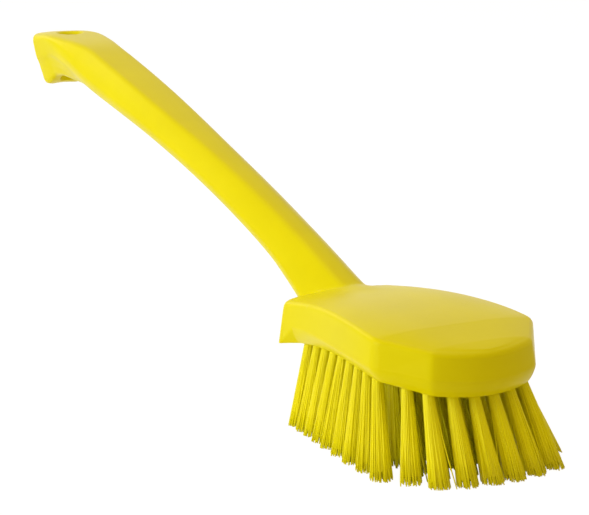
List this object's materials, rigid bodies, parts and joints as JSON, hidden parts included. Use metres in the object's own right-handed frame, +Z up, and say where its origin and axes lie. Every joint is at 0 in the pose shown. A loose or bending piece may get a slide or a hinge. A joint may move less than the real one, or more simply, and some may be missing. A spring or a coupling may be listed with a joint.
{
  "type": "long-handled washing brush",
  "caption": "Washing brush with a long rising handle moulded in one piece with its arched head, stiff fanned bristle tufts set in blind holes, and a hanging hole in the hooked handle tip",
  "frame": {"origin": "centre of the bounding box on the plane of the trimmed bristle ends", "axes": "+X from the handle's tip towards the nose of the head, +Y across the head, +Z up from the bristle ends"},
  "size_m": [0.4274, 0.091, 0.138],
  "materials": {
    "moulded_plastic": "satin polypropylene, yellow",
    "filament": "stiff yellow polyester filament"
  },
  "bodies": {
    "root": {"brush_body": "moulded_plastic", "tuft_nose_1": "filament", "tuft_nose_2": "filament", "tuft_nose_3": "filament", "tuft_nose_4": "filament", "tuft_nose_5": "filament", "tuft_nose_6": "filament", "tuft_row10_1": "filament", "tuft_row10_2": "filament", "tuft_row10_3": "filament", "tuft_row10_4": "filament", "tuft_row10_5": "filament", "tuft_row10_6": "filament", "tuft_row1_1": "filament", "tuft_row1_2": "filament", "tuft_row1_3": "filament", "tuft_row1_4": "filament", "tuft_row1_5": "filament", "tuft_row2_1": "filament", "tuft_row2_2": "filament", "tuft_row2_3": "filament", "tuft_row2_4": "filament", "tuft_row2_5": "filament", "tuft_row3_1": "filament", "tuft_row3_2": "filament", "tuft_row3_3": "filament", "tuft_row3_4": "filament", "tuft_row3_5": "filament", "tuft_row4_1": "filament", "tuft_row4_2": "filament", "tuft_row4_3": "filament", "tuft_row4_4": "filament", "tuft_row4_5": "filament", "tuft_row5_1": "filament", "tuft_row5_2": "filament", "tuft_row5_3": "filament", "tuft_row5_4": "filament", "tuft_row5_5": "filament", "tuft_row6_1": "filament", "tuft_row6_2": "filament", "tuft_row6_3": "filament", "tuft_row6_4": "filament", "tuft_row6_5": "filament", "tuft_row7_1": "filament", "tuft_row7_2": "filament", "tuft_row7_3": "filament", "tuft_row7_4": "filament", "tuft_row7_5": "filament", "tuft_row8_1": "filament", "tuft_row8_2": "filament", "tuft_row8_3": "filament", "tuft_row8_4": "filament", "tuft_row8_5": "filament", "tuft_row8_6": "filament", "tuft_row9_1": "filament", "tuft_row9_2": "filament", "tuft_row9_3": "filament", "tuft_row9_4": "filament", "tuft_row9_5": "filament", "tuft_row9_6": "filament"}
  },
  "joints": []
}
